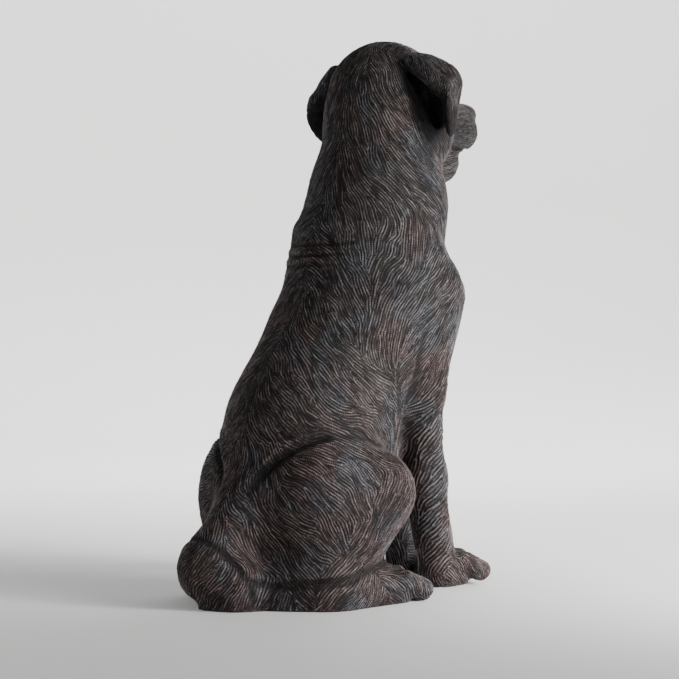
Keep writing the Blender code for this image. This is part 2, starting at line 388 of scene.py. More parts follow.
NECK_COMBS = [
    ((0, 0.02, 0.8), (0, 0, -1)),  # nape
    ((0.04, 0.045, 0.89), (0.2, 0, -1)),
    ((0.028, 0.032, 0.805), (0.5, -0.1, -0.85)),
    ((0.076, 0.069, 0.865), (0.45, 0.35, -0.8)),
    ((0.07, 0.045, 0.8), (0.4, 0.15, -0.9)),
    ((0.108, 0.11, 0.82), (0.1, 0.6, -0.8)),  # side of the neck, below the ear
    ((0.095, 0.2, 0.79), (0, 0.85, -0.5)),  # towards the throat
    ((0, 0.25, 0.72), (0, 0, -1)),  # throat
    ((0.015, 0.01, 0.755), (0.4, -0.2, -0.85)),
    ((0.063, 0.027, 0.753), (0.65, 0.15, -0.75)),
    ((0.04, 0.01, 0.71), (0.45, 0, -0.9)),
    ((0.1, 0.06, 0.71), (0.25, 0.5, -0.8)),
    ((0.12, 0.15, 0.71), (0.05, 0.8, -0.6)),
    ((0.06, 0.0, 0.635), (0.3, 0.05, -0.95)),  # roll of the nape
    ((0.012, -0.037, 0.622), (0.8, 0, -0.6)),
    ((0.06, -0.001, 0.681), (0.63, 0, -0.77)),
    ((0.084, -0.024, 0.56), (0.5, 0.15, -0.85)),
    ((0.028, -0.053, 0.561), (0.75, -0.1, -0.65)),
    ((0.118, 0.08, 0.62), (0, 0.05, -1)),  # whorl over the shoulder
    ((0.121, 0.032, 0.613), (0, -0.45, -0.9)),
    ((0.11, 0.19, 0.64), (0, 0.5, -0.85)),
]

TRUNK_COMBS = [
    ((0, 0.27, 0.56), (0, 0, -1)),  # breast
    ((0.07, 0.25, 0.53), (-0.3, 0, -1)),
    ((0, 0.23, 0.42), (0, -0.2, -1)),
    ((0.155, 0.13, 0.57), (0.05, -0.7, -0.7)),  # shoulder blade
    ((0.128, 0.025, 0.57), (-0.3, -0.55, -0.75)),
    ((0.15, 0.07, 0.52), (-0.1, -0.7, -0.7)),
    ((0.149, 0.07, 0.43), (-0.1, -0.65, -0.75)),
    ((0.139, 0.014, 0.48), (0.1, -0.3, -0.95)),
    ((0.141, 0.011, 0.43), (0.05, 0.05, -1)),
    ((0.134, 0.085, 0.39), (-0.3, -0.6, -0.75)),
    ((0, -0.07, 0.52), (0, -0.2, -1)),  # back
    ((0.033, -0.072, 0.52), (0.6, -0.25, -0.75)),
    ((0.08, -0.06, 0.5), (0.45, 0.15, -0.85)),
    ((0.028, -0.129, 0.43), (0.75, -0.2, -0.6)),
    ((0.055, -0.14, 0.4), (0.6, 0.1, -0.75)),
    ((0, -0.185, 0.35), (0, -0.2, -1)),
    ((0.028, -0.188, 0.34), (0.65, -0.15, -0.75)),
    ((0.036, -0.194, 0.29), (0.75, 0, -0.67)),
    ((0.11, -0.08, 0.4), (0.35, 0.55, -0.75)),  # flank
    ((0.145, -0.01, 0.38), (0.1, 0.85, -0.5)),
    ((0.135, 0.04, 0.33), (0, 0.7, -0.7)),
    ((0.08, -0.15, 0.32), (0.6, 0.4, -0.6)),
    ((0.14, -0.06, 0.3), (0.2, 0.95, -0.35)),  # waist
    ((0.1, -0.13, 0.27), (0.6, 0.75, 0.25)),
    ((0, 0.13, 0.28), (0, 0.1, -1)),  # belly
]


def fore_leg_combs(side, step):
    def comb(at, lie, spacing=1.0, depth=1.0):
        return Comb((side * at[0], at[1], at[2]), (side * lie[0], lie[1], lie[2]), spacing, depth, both=False)

    yield comb((0.135, 0.2, 0.53), (-0.1, -0.55, -0.85))  # point of the shoulder
    yield comb((0.13, 0.15, 0.43), (0, -0.5, -0.85))
    yield comb((0.118, 0.165, 0.34), (0, -0.75, -0.7), 1.45, 1.5)  # outer face of the forearm
    yield comb((0.11, 0.175 + step / 2, 0.24), (0.1, -0.7, -0.7), 1.45, 1.6)
    yield comb((0.1, 0.195 + step / 2, 0.17), (0, -0.75, -0.7), 1.45, 1.6)
    yield comb((0.095, 0.21 + step, 0.1), (-0.3, -0.6, -0.75), 1.35, 1.5)
    yield comb((0.06, 0.24 + step / 2, 0.22), (0, 0.1, -1), 0.9, 0.4)  # front edge
    yield comb((0.04, 0.195 + step / 2, 0.2), (0, -0.2, -1))  # inner face
    yield comb((0.062, 0.285 + step, 0.068), (0, 1, -0.3), 0.8, 0.7)  # top of the paw
    yield comb((0.1, 0.285 + step, 0.035), (0, 0.7, -0.7), 0.8, 0.8)


HIND_COMBS = [
    ((0.155, -0.06, 0.265), (0.3, 0.75, -0.5)),  # top of the thigh
    ((0.18, 0.0, 0.26), (0.2, 0.7, -0.65)),
    ((0.153, -0.128, 0.26), (0.5, 0.7, -0.55)),
    ((0.165, -0.14, 0.22), (0.5, 0.5, -0.7)),
    ((0.183, -0.096, 0.21), (0.4, 0.35, -0.85)),
    ((0.142, -0.178, 0.17), (0.6, 0.5, -0.6)),
    ((0.19, -0.104, 0.17), (0.15, 0.3, -0.95)),
    ((0.19, -0.06, 0.17), (0, -0.5, -0.8)),
    ((0.19, -0.02, 0.19), (0, -0.4, -0.9)),
    ((0.19, 0.04, 0.19), (0, 0, -1)),  # knee
    ((0.18, -0.03, 0.12), (0, -0.7, -0.7)),  # front of the thigh, down to the foot
    ((0.166, -0.141, 0.13), (0.35, 0.5, -0.8)),
    ((0.189, -0.095, 0.13), (-0.2, -0.55, -0.8)),
    ((0.186, -0.099, 0.08), (-0.15, -0.8, -0.6)),
    ((0.14, -0.175, 0.1), (0.6, 0.5, -0.5)),  # haunch
    ((0.1, -0.195, 0.2), (0.7, 0.5, -0.3)),
    ((0.13, -0.185, 0.06), (0.5, 0.4, -0.6)),
    ((0.179, -0.154, 0.045), (-0.3, -0.6, -0.75)),  # rim of the seat
    ((0.073, -0.201, 0.206), (0.25, -0.25, -0.93)),
    ((0.046, -0.23, 0.157), (0.5, 0.35, -0.8)),
    ((0.049, -0.232, 0.1), (0.55, 0.35, -0.75)),
    ((0, -0.225, 0.25), (0, -0.2, -1)),  # root of the tail
    ((0.15, -0.03, 0.065), (0.15, 1, -0.1), 0.85, 0.8),  # top of the foot
    ((0.19, -0.06, 0.02), (0, -0.45, -0.85)),  # rim of the foot
    ((0.187, -0.02, 0.034), (0.05, 0.8, -0.6)),
    ((0.185, 0.03, 0.02), (0, 0.4, -0.9)),
    ((0.15, 0.08, 0.03), (0, 0.8, -0.6), 0.8, 0.7),  # toes
    ((0.1, 0.06, 0.14), (0, 0.1, -1)),  # inner side of the thigh
]

TAIL_COMBS = [
    ((-0.004, -0.287, 0.13), (-0.25, -0.7, -0.7)),
    ((0.026, -0.318, 0.085), (0.5, -0.2, -0.85)),
    ((-0.029, -0.308, 0.045), (0.7, -0.2, -0.7)),
    ((-0.065, -0.283, 0.046), (0.3, -0.35, -0.9)),
    ((0.05, -0.285, 0.06), (0.5, 0.1, -0.7)),
    ((0.0, -0.31, 0.02), (0.4, 0, -0.9)),
    ((-0.1, -0.235, 0.02), (0.3, -0.3, -0.9)),
    ((0.1, -0.235, 0.02), (0.15, 0, -1)),
]


COMBS = [
    *(Comb(*row) for row in HEAD_COMBS + NECK_COMBS + TRUNK_COMBS),
    *fore_leg_combs(-1, 0.0),
    *fore_leg_combs(1, LEFT_STEP),
    *(Comb(*row) for row in HIND_COMBS),
    *(Comb(*row, both=False) for row in TAIL_COMBS),
]


def hair_at(points, normals):
    """The lie of the hair along the skin, the groove spacing and the depth at each point, from the combs."""
    grain = np.zeros((len(points), 3, 3))
    towards = np.zeros((len(points), 3))
    sums = np.zeros((len(points), 2))
    weight_sum = np.zeros(len(points))
    for comb in COMBS:
        for side in (1.0, -1.0) if comb.both else (1.0,):
            offset = points - comb.at * (side, 1.0, 1.0)
            weight = ((offset**2).sum(axis=1) + COMB_CORE**2) ** COMB_FADE
            lie = comb.lie * (side, 1.0, 1.0) / np.linalg.norm(comb.lie)
            grain += weight[:, None, None] * np.outer(lie, lie)
            towards += weight[:, None] * lie
            sums += weight[:, None] * (comb.spacing, comb.depth)
            weight_sum += weight
    grain /= weight_sum[:, None, None]
    along_skin = np.eye(3) - normals[:, :, None] * normals[:, None, :]
    grain = along_skin @ grain @ along_skin
    _, axes = np.linalg.eigh(grain)
    lie = axes[:, :, 2]
    lie *= np.where((lie * towards).sum(axis=1) < 0.0, -1.0, 1.0)[:, None]
    return lie, sums[:, 0] / weight_sum, sums[:, 1] / weight_sum


class Stroke:
    """A line that is carved into the figure, or raised from it where its depth is less than nothing.

    The path runs through places in shares of the height, and width and depth are in millimetres."""

    def __init__(self, path, width, depth, both=False, fade=True):
        self.path = np.array(path, float)
        self.width = width * MM
        self.depth = depth * MM
        self.both = both
        self.fade = fade

    def samples(self, side):
        """Points along the path, laid on the figure, and how strong the line is at each."""
        steps = np.linspace(0.0, 1.0, 9)[:, None]
        legs = [a + (b - a) * steps for a, b in zip(self.path[:-1], self.path[1:])]
        points = np.concatenate(legs) * (side, 1.0, 1.0)
        for _ in range(2):
            points[1:-1] = (points[:-2] + 2.0 * points[1:-1] + points[2:]) / 4.0
        share = np.linspace(0.0, 1.0, len(points))
        strength = np.sqrt(np.sin(np.pi * np.clip(share, 0.04, 0.96))) if self.fade else np.ones(len(points))
        return pull_to_figure(points), strength


def face_strokes():
    yield Stroke([(0, 0.389, 0.868), (0, 0.378, 0.845), (0, 0.368, 0.824)], 1.1, 1.3)  # line under the nose
    yield Stroke([(0.009, 0.388, 0.884), (0.019, 0.382, 0.88)], 1.6, 2.4, both=True)  # nostril
    yield Stroke([(0.024, 0.388, 0.872), (0.028, 0.372, 0.868)], 0.9, 1.2, both=True)
    yield Stroke([(0.032, 0.352, 0.876), (0.025, 0.345, 0.902), (0, 0.346, 0.908)], 1.2, 0.8, both=True)
    lip = [(0, 0.368, 0.824), (0.01, 0.362, 0.813), (0.026, 0.352, 0.803), (0.044, 0.325, 0.803)]
    yield Stroke([*lip, (0.056, 0.285, 0.81), (0.062, 0.24, 0.815)], 1.3, 2.0, both=True)
    yield Stroke([(0.062, 0.24, 0.815), (0.06, 0.225, 0.8), (0.058, 0.222, 0.785)], 1.3, 1.2, both=True)
    upper_lid = [(0.032, 0.266, 0.907), (0.039, 0.268, 0.924), (0.052, 0.262, 0.93), (0.066, 0.245, 0.916)]
    lower_lid = [(0.032, 0.266, 0.907), (0.045, 0.268, 0.899), (0.058, 0.258, 0.901), (0.066, 0.245, 0.913)]
    lid_fold = [(0.03, 0.262, 0.912), (0.037, 0.262, 0.934), (0.054, 0.254, 0.94), (0.07, 0.238, 0.922)]
    yield Stroke(upper_lid, 1.2, -1.2, both=True)
    yield Stroke(lower_lid, 1.1, -0.9, both=True)
    yield Stroke(lid_fold, 1.0, 1.0, both=True)
    yield Stroke([(0.049, 0.2655, 0.916), (0.0495, 0.2655, 0.915)], 1.7, 0.9, both=True, fade=False)  # pupil
    yield Stroke([(0, 0.24, 0.972), (0, 0.262, 0.945), (0, 0.278, 0.925)], 2.4, 0.8)  # between the brows
    for row in range(3):  # whisker roots
        for dot in range(4):
            at = (0.05 - 0.004 * dot, 0.3 + 0.014 * dot, 0.85 - 0.009 * row)
            yield Stroke([at, (at[0], at[1] + 0.001, at[2])], 0.8, 0.6, both=True, fade=False)


def skin_strokes():
    nape = [(-0.07, 0.0, 0.0), (-0.025, -0.045, 0.004), (0.035, -0.048, 0.006), (0.09, 0.005, 0.002)]
    for up, width, depth in (
        (0.617, 1.4, 1.3),
        (0.607, 1.5, -1.0),
        (0.598, 1.4, 1.3),
        (0.589, 1.5, -0.9),
        (0.579, 1.5, 1.0),
    ):
        yield Stroke(np.array(nape) + (0, 0, up), width, depth)
    hip = [(0.036, -0.207, 0.2), (0.048, -0.2, 0.224), (0.068, -0.182, 0.246), (0.095, -0.158, 0.269)]
    waist = [(0.122, -0.124, 0.28), (0.148, -0.07, 0.29), (0.162, -0.02, 0.286), (0.16, 0.03, 0.262)]
    yield Stroke([*hip, waist[0]], 3.0, 4.2, both=True)
    yield Stroke([hip[3], *waist], 2.8, 0.9, both=True)
    yield Stroke([(0.036, -0.2, 0.232), (0.06, -0.18, 0.265), (0.095, -0.152, 0.29)], 2.6, -1.2, both=True)
    behind_arm = [(0.105, 0.105, 0.5), (0.118, 0.085, 0.43), (0.11, 0.09, 0.36)]
    yield Stroke(behind_arm, 4.0, 1.2, both=True)


FRONT_GAP = [  # the gap beside a front toe: how far out from the paw's middle, forward and up it runs
    (0.017, 0.258, 0.07),
    (0.019, 0.29, 0.062),
    (0.022, 0.325, 0.045),
    (0.023, 0.34, 0.02),
    (0.023, 0.338, 0.006),
]
HIND_GAP = [  # and beside a hind toe: the foot's middle, how far out from it, forward and up
    (0.144, 0.017, 0.006, 0.062),
    (0.145, 0.019, 0.04, 0.055),
    (0.146, 0.021, 0.08, 0.038),
    (0.146, 0.021, 0.092, 0.016),
    (0.146, 0.021, 0.09, 0.005),
]


def paw_strokes():
    for side, step in ((-1, 0.0), (1, LEFT_STEP)):
        for gap in (-1, 0, 1):
            path = [(side * 0.062 + gap * out, forward + step, up) for out, forward, up in FRONT_GAP]
            yield Stroke(path, 2.0, 4.6)
        for toe in (-1.5, -0.5, 0.5, 1.5):
            tip = np.array((side * 0.064 + toe * 0.022, 0.338 + step - 0.006 * toe**2, 0.028))
            yield Stroke([tip, tip + (0, 0.004, -0.014)], 1.3, -1.4)  # nail
    for gap in (-1, 0, 1):
        path = [(middle + gap * out, forward, up) for middle, out, forward, up in HIND_GAP]
        yield Stroke(path, 1.9, 4.0, both=True)
    for toe in (-1.5, -0.5, 0.5, 1.5):
        tip = np.array((0.146 + toe * 0.02, 0.092 - 0.005 * toe**2, 0.024))
        yield Stroke([tip, tip + (0, 0.003, -0.013)], 1.3, -1.3, both=True)


def rim_strokes():
    """The lines that part the tail and the feet from the seat."""
    tail_edge = [(0.04, -0.285, 0.105), (0, -0.285, 0.104), (-0.035, -0.275, 0.09), (-0.062, -0.262, 0.066)]
    yield Stroke([*tail_edge, (-0.075, -0.25, 0.04), (-0.08, -0.245, 0.01)], 2.2, 1.9)
    yield Stroke([(0.07, -0.26, 0.085), (0.085, -0.25, 0.045), (0.09, -0.245, 0.01)], 1.8, 2.0)
    foot = [(0.165, -0.1, 0.06), (0.175, -0.06, 0.064), (0.165, -0.02, 0.07), (0.15, 0.0, 0.078)]
    yield Stroke(foot, 2.0, 1.8, both=True)
    ledge = [(0.085, -0.25, 0.052), (0.125, -0.228, 0.05), (0.165, -0.18, 0.048), (0.18, -0.125, 0.05)]
    yield Stroke([*ledge, (0.17, -0.095, 0.06)], 2.6, 3.4, both=True)


STROKES = [*face_strokes(), *skin_strokes(), *paw_strokes(), *rim_strokes()]

BARE = [  # where the coat isn't carved: place, radius
    ((0.049, 0.258, 0.915), 0.026),
    ((0, 0.372, 0.882), 0.04),
]
GLOSSY = [  # the eyes and the nose, which are dark and glossy: place, radius
    ((0.0485, 0.249, 0.9152), 0.0178),
    ((0, 0.376, 0.885), 0.027),
]

SHADED = [  # painted shade, darkening the pupils, the nostrils and the ear's hollow and flap, which lie in shadow: place, radius
    ((0.049, 0.262, 0.915), 0.012),
    ((0, 0.388, 0.884), 0.012),
    ((0.135, 0.13, 0.865), 0.03),
    ((0.15, 0.155, 0.845), 0.024),
    ((0.16, 0.17, 0.815), 0.02),
]


def gaps(points, at):
    """How far each point is from a place on the left side, and from its mirror image on the right."""
    return [np.linalg.norm(points - np.array(at) * (side, 1.0, 1.0), axis=1) for side in (1.0, -1.0)]


def carve_strokes(points):
    """How deep the strokes cut at each point, less than nothing where they raise it."""
    depth = np.zeros(len(points))
    for stroke in STROKES:
        for side in (1.0, -1.0) if stroke.both else (1.0,):
            path, strength = stroke.samples(side)
            reach = 3.0 * stroke.width
            above = (points > path.min(axis=0) - reach).all(axis=1)
            below = (points < path.max(axis=0) + reach).all(axis=1)
            near = np.flatnonzero(above & below)
            best = np.zeros(len(near))
            for a, b, power in zip(path[:-1], path[1:], strength):
                along = b - a
                share = np.clip((points[near] - a) @ along / max(along @ along, 1e-12), 0.0, 1.0)
                gap = np.linalg.norm(points[near] - a - share[:, None] * along, axis=1)
                best = np.maximum(best, power * np.exp(-((gap / stroke.width) ** 2)))
            depth[near] += stroke.depth * best
    return depth


def soft_noise(points, cell, seed):
    """Smooth random values from -1 to 1 that change over about one cell."""
    rng = np.random.default_rng(seed)
    lattice = rng.uniform(-1.0, 1.0, (LATTICE, LATTICE, LATTICE))
    place = points / cell + 1000.0
    corner = np.floor(place).astype(int)
    part = place - corner
    part = part * part * (3.0 - 2.0 * part)
    value = np.zeros(len(points))
    for near in np.ndindex(2, 2, 2):
        x, y, z = (corner + near).T % LATTICE
        value += np.abs(part - np.subtract(1, near)).prod(axis=1) * lattice[x, y, z]
    return value * 1.6


def cells(points, size):
    """One whole number for each point: its cell in an even grid."""
    return np.floor(points / size).astype(int) @ (1, 4096, 4096**2)


class Coat:
    """Carved hair: grooves that run along its lie, one spacing apart, and branch where they must."""

    def __init__(self, points, normals, spacing, rounds=2, seed=7):
        _, picked = np.unique(cells(points, 1.1 * spacing), return_index=True)
        self.at = points[picked]
        self.normals = normals[picked]
        self.lie, scale, self.depth = hair_at(self.at, self.normals)
        sway = 0.0
        for step, (size, angle) in enumerate((WIDE_SWAY, FINE_SWAY)):
            sway = sway + angle * soft_noise(self.at, size * spacing, seed + step)
        across = np.cross(self.normals, self.lie)
        self.lie = self.lie * np.cos(sway)[:, None] + across * np.sin(sway)[:, None]
        across = np.cross(self.normals, self.lie)
        self.wave = across * (2.0 * math.pi / (spacing * scale))[:, None]
        self.spread = 2.0 * spacing
        self.tree = KDTree(len(picked))
        for index, point in enumerate(self.at):
            self.tree.insert(point, index)
        self.tree.balance()
        self.phase = self.aligned(rounds, seed)

    def nearest(self, points, count):
        return np.array([[hit[1] for hit in self.tree.find_n(point, count)] for point in points])

    def aligned(self, rounds, seed):
        """Shifts the groove at each seed point until it meets its neighbours' grooves."""
        rng = np.random.default_rng(seed)
        turn = np.exp(1j * rng.uniform(0.0, 2.0 * math.pi, len(self.at)))
        others = self.nearest(self.at, NEIGHBOURS)[:, 1:]
        offset = self.at[:, None] - self.at[others]
        side = np.sign((self.lie[:, None] * self.lie[others]).sum(axis=2))
        facing = (self.normals[:, None] * self.normals[others]).sum(axis=2)
        gap = (offset**2).sum(axis=2)
        weight = np.exp(-gap / (2.0 * self.spread**2)) * (facing > SAME_FACE)
        between = (self.wave[:, None] + side[:, :, None] * self.wave[others]) / 2.0
        shift = weight * np.exp(1j * (between * offset).sum(axis=2))
        for _ in range(rounds):
            theirs = turn[others]
            theirs = np.where(side > 0.0, theirs, theirs.conj())
            turn = (shift * theirs).sum(axis=1) + 1e-6 * turn
            turn /= np.abs(turn)
        return turn

    def relief(self, points, normals, spacing):
        """The coat's height at each point, 0 in a groove and 1 on a ridge, and its depth and lie there."""
        _, first, cell_of = np.unique(cells(points, spacing), return_index=True, return_inverse=True)
        lists = self.nearest(points[first], NEAREST)
        height = np.empty(len(points))
        depth = np.empty(len(points))
        lie = np.empty((len(points), 3))
        for start in range(0, len(points), BATCH):
            part = slice(start, start + BATCH)
            seeds = lists[cell_of[part]]
            offset = points[part][:, None] - self.at[seeds]
            gap = (offset**2).sum(axis=2) / self.spread**2
            facing = (normals[part][:, None] * self.normals[seeds]).sum(axis=2)
            weight = np.maximum(1.0 - gap / 4.0, 1e-4) ** 4 * np.clip(facing, 0.01, 1.0)
            side = np.sign((self.lie[seeds] * self.lie[seeds[:, :1]]).sum(axis=2))
            turn = np.where(side > 0.0, self.phase[seeds], self.phase[seeds].conj())
            total = (weight * turn * np.exp(1j * side * (self.wave[seeds] * offset).sum(axis=2))).sum(axis=1)
            sure = np.abs(total) / weight.sum(axis=1)
            height[part] = ((1.0 + np.cos(np.angle(total))) / 2.0) ** CREST
            lie[part] = (weight[:, :, None] * self.lie[seeds]).sum(axis=1)
            deep = (weight * self.depth[seeds]).sum(axis=1) / weight.sum(axis=1)
            depth[part] = deep * np.clip(SURE * sure, 0.0, 1.0)
        return height, depth, lie / np.maximum(np.linalg.norm(lie, axis=1), 1e-6)[:, None]


def modelled(thing):
    """The mesh that an object's modifiers make."""
    bpy.context.view_layer.update()
    return bpy.data.meshes.new_from_object(thing.evaluated_get(bpy.context.evaluated_depsgraph_get()))


def read_vectors(collection, name):
    values = np.empty(len(collection) * 3)
    collection.foreach_get(name, values)
    return values.reshape(-1, 3)


def store(mesh, name, values):
    """Keeps one number for each vertex, for the paint to read."""
    mesh.attributes.new(name, "FLOAT", "POINT").data.foreach_set("value", values.astype(np.float32))


def split_quads(values, quads):
    """Cuts each quad into four, with the values at its corners shared out to the new corners."""
    count = len(values)
    pairs = np.sort(np.stack([quads, np.roll(quads, -1, axis=1)], axis=2).astype(np.int64), axis=2)
    edges, edge_of = np.unique(pairs[..., 0] * count + pairs[..., 1], return_inverse=True)
    half_way = (values[edges // count] + values[edges % count]) / 2.0
    middle = count + edge_of.reshape(-1, 4)
    centre = np.repeat(count + len(edges) + np.arange(len(quads))[:, None], 4, axis=1)
    smaller = np.stack([quads, middle, centre, np.roll(middle, 1, axis=1)], axis=2).reshape(-1, 4)
    return np.concatenate([values, half_way, values[quads].mean(axis=1)]), smaller


def even_clay(node, grid):
    """A copy of the cast solid's skin on an even grid, laid on the moulded forms."""
    clay = bpy.data.objects.new("clay", node.data.copy())
    bpy.context.scene.collection.objects.link(clay)
    remesh = clay.modifiers.new("even_skin", "REMESH")
    remesh.mode = "VOXEL"
    remesh.voxel_size = grid
    mesh = modelled(clay)
    points = read_vectors(mesh.vertices, "co")
    above = points[:, 2] > 0.4 * grid
    figure = to_dog(points)
    figure[above] = pull_to_figure(figure[above])
    outward = read_vectors(mesh.vertices, "normal") * (1.0, -1.0, 1.0)
    # How open the skin is to the air: where it is low, the paint is darker, as painted shade in hollows.
    open_air = np.clip(figure_distance(figure + AIR_REACH * outward) / AIR_REACH, 0.0, 1.0)
    points = to_world(figure)
    points[~above, 2] = 0.0
    corners = np.empty(len(mesh.loops), np.int32)
    mesh.loops.foreach_get("vertex_index", corners)
    bpy.data.objects.remove(clay)
    bpy.data.meshes.remove(mesh)
    finer, quads = split_quads(np.column_stack([points, open_air]), corners.reshape(-1, 4))
    fine = bpy.data.meshes.new("clay")
    fine.vertices.add(len(finer))
    fine.vertices.foreach_set("co", finer[:, :3].ravel())
    fine.loops.add(quads.size)
    fine.loops.foreach_set("vertex_index", quads.ravel().astype(np.int32))
    fine.polygons.add(len(quads))
    fine.polygons.foreach_set("loop_start", np.arange(0, quads.size, 4, dtype=np.int32))
    fine.update(calc_edges=True)
    store(fine, "open_air", finer[:, 3])
    return fine


def carve(mesh, sizes):
    """Cuts the strokes and the coat into the clay, and notes where the ridges are."""
    points = read_vectors(mesh.vertices, "co")
    normals = read_vectors(mesh.vertices, "normal") * (1.0, -1.0, 1.0)
    figure = to_dog(points)
    spacing = sizes.groove_spacing / STATUE_HEIGHT
    depth = sizes.groove_depth / STATUE_HEIGHT
    line_depth = carve_strokes(figure)
    coat = Coat(figure, normals, spacing)
    height, strength, lie = coat.relief(figure, normals, spacing)
    for at, radius in BARE:
        for gap in gaps(figure, at):
            strength *= np.clip((gap - radius) / BARE_EDGE + 1.0, 0.0, 1.0)
    open_air = np.empty(len(points))
    mesh.attributes["open_air"].data.foreach_get("value", open_air)
    # Painted shade: the shaded places count as having less open air, so their paint is darker.
    for at, radius in SHADED:
        for gap in gaps(figure, at):
            open_air *= np.clip((gap - radius) / SHADE_EDGE + SHADE_LEAST, SHADE_LEAST, 1.0)
    mesh.attributes["open_air"].data.foreach_set("value", open_air)
    strength *= np.clip(figure[:, 2] / FOOT_EDGE, 0.0, 1.0)
    steps = (-2.1, -1.4, -0.7, 0.0, 0.7, 1.4, 2.1)  # the noise is smeared along the hair, so ridges break off
    streak = sum(soft_noise(figure + lie * step * spacing, BREAK_SIZE * spacing, 3) for step in steps) / len(steps)
    ridge = height * np.clip(0.8 + BREAK_WEIGHT * streak, 0.3, 1.0)
    cut = depth * strength * (1.0 - ridge) + line_depth
    carved = to_world(figure - normals * cut[:, None])
    carved[points[:, 2] < 1e-5, 2] = 0.0
    low, high = np.array(CAD_BOX)
    mesh.vertices.foreach_set("co", np.clip(carved, low, high).ravel())
    store(mesh, "ridge", ridge)
    store(mesh, "coat", np.clip(strength, 0.0, 1.0))
    glossy = np.zeros(len(points))
    for at, radius in GLOSSY:
        for gap in gaps(figure, at):
            glossy = np.maximum(glossy, np.clip((radius - gap) / GLOSS_EDGE, 0.0, 1.0))
    store(mesh, "glossy", glossy)
    store(mesh, "line", np.clip(line_depth / FULL_LINE, -1.0, 1.0))
    flow = mesh.attributes.new("lie", "FLOAT_VECTOR", "POINT")
    flow.data.foreach_set("vector", (lie * (1.0, -1.0, 1.0)).astype(np.float32).ravel())


def carved_mesh(sizes):
    """The carved dog with the triangles that it needs."""
    grid = sizes.clay_grid * 1.0
    mesh = even_clay(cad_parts["dog_statue"], grid)
    carve(mesh, sizes)
    dog = bpy.data.objects.new("clay", mesh)
    bpy.context.scene.collection.objects.link(dog)
    fewer = dog.modifiers.new("fewer_faces", "DECIMATE")
    fewer.ratio = sizes.triangles / (2.0 * len(mesh.polygons))
    fewer.use_collapse_triangulate = True
    lean = modelled(dog)
    bpy.data.objects.remove(dog)
    bpy.data.meshes.remove(mesh)
    lean.vertices.foreach_set("co", np.clip(read_vectors(lean.vertices, "co"), *np.array(CAD_BOX)).ravel())
    lean.update()
    lean.shade_smooth()
    return lean


def add_node(tree, kind, settings=(), inputs=(), output=0):
    """Adds a node, sets its properties, sets or links its sockets, and gives one of its outputs."""
    made = tree.nodes.new("ShaderNode" + kind)
    for name, value in dict(settings).items():
        setattr(made, name, value)
    for name, value in dict(inputs).items():
        if isinstance(value, bpy.types.NodeSocket):
            tree.links.new(value, made.inputs[name])
        else:
            made.inputs[name].default_value = value
    return made.outputs[output]


# Settings of the nodes. Their sockets go by name or number: a Map Range node reads from 1 to 2 and gives from 3 to 4,
# and a Mix node's share is 0, its numbers are 2 and 3, its colours are 6 and 7, and its mixed colour comes out at 2.
SMOOTH = {"interpolation_type": "SMOOTHSTEP"}
COLOURS = {"data_type": "RGBA"}
NUMBERS = {"data_type": "FLOAT"}
PLUS = {"operation": "ADD"}
MINUS = {"operation": "SUBTRACT"}
TIMES = {"operation": "MULTIPLY"}
TIMES_PLUS = {"operation": "MULTIPLY_ADD"}

RAMPS = {  # what the carving notes at each vertex: the kind of ramp over it, and where that begins and ends
    "coat": ("SMOOTHSTEP", 0.05, 0.7),
    "ridge": ("LINEAR", 0.0, 1.0),
    "open_air": ("SMOOTHSTEP", 0.25, 0.95),
    "line": ("SMOOTHSTEP", 0.0, 0.8),
    "glossy": ("SMOOTHSTEP", 0.3, 0.7),
}
PATCHES = {  # the paint's uneven places: size in mm, detail, roughness, and where the ramp begins and ends
    "warm": (38.0, 3.0, 0.55, 0.50, 0.68),
    "cool": (30.0, 2.0, 0.55, 0.47, 0.64),
    "blotch": (9.0, 5.0, 0.65, 0.35, 0.75),
    "rubbed": (16.0, 3.0, 0.55, 0.38, 0.62),
    "scuffed": (2.2, 4.0, 0.70, 0.38, 0.60),
    "varnished": (3.0, 4.0, 0.55, 0.30, 0.70),
    "gritty": (0.9, 3.0, 0.70, 0.0, 1.0),
}
BARE_RIDGE = 0.32  # how high the skin counts as where there is no coat
HAIR_LENGTH, HAIR_WIDTH = 7.0, 0.8  # fine painted hairs, mm; real ones are half as wide and wouldn't show
HAIR_WEIGHT = 4.4  # how much they break up the ridges
BUMP_DEPTH = 0.0012  # metres


def hairs(node, where):
    """Fine hair lines, near 0.5 on average: a grain that is smeared along the lie of the hair."""
    lie = node("Attribute", {"attribute_name": "lie"}, output="Vector")
    total = 0.0
    for step in range(-3, 4):
        shift = {0: lie, "Scale": step * HAIR_LENGTH / 6000.0}  # six steps make a length, in metres
        moved = node("VectorMath", {"operation": "SCALE"}, shift)
        place = node("VectorMath", PLUS, {0: where, 1: moved})
        grain = {"Vector": place, "Scale": 1000.0 / HAIR_WIDTH, "Detail": 1.0}
        grain = node("TexNoise", inputs=grain, output="Fac")
        total = node("Math", PLUS, {0: grain, 1: total})
    return node("Math", {"operation": "DIVIDE"}, {0: total, 1: 7.0})


